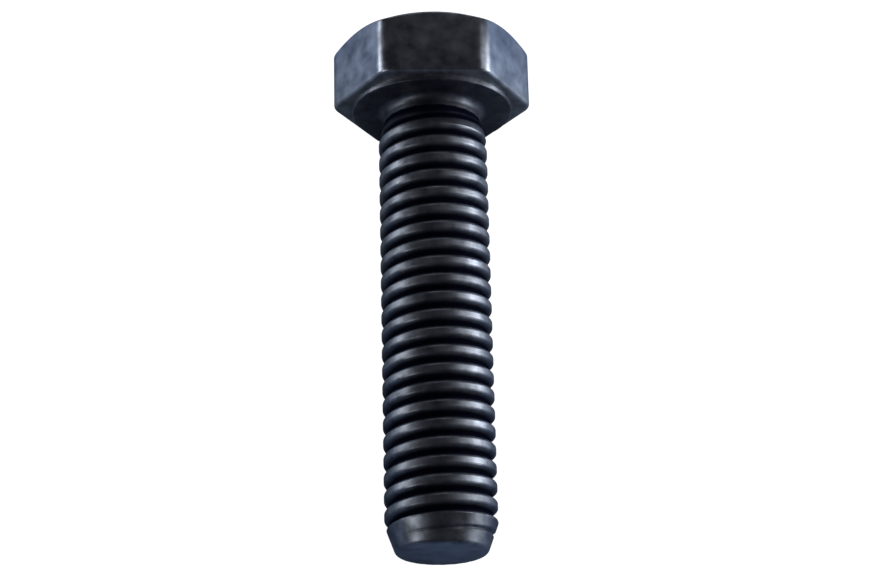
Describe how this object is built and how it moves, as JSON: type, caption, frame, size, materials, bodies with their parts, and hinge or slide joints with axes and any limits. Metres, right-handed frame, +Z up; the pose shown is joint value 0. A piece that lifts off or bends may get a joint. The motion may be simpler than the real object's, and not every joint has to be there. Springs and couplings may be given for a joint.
{
  "type": "hex head screw",
  "caption": "Fully threaded metric screw with a washer-faced, chamfered hexagon head, in black-oxide steel, lying on its side.",
  "frame": {"origin": "centre of the bearing face under the head, on the screw's axis", "axes": "+Y towards the head, along the lying screw; +Z up; the axis rises 4.43 degrees towards the head"},
  "size_m": [0.0108, 0.0295, 0.0099],
  "materials": {
    "black_steel": "black oxide, lightly oiled"
  },
  "bodies": {
    "root": {"hex_head_screw": "black_steel"}
  },
  "joints": []
}
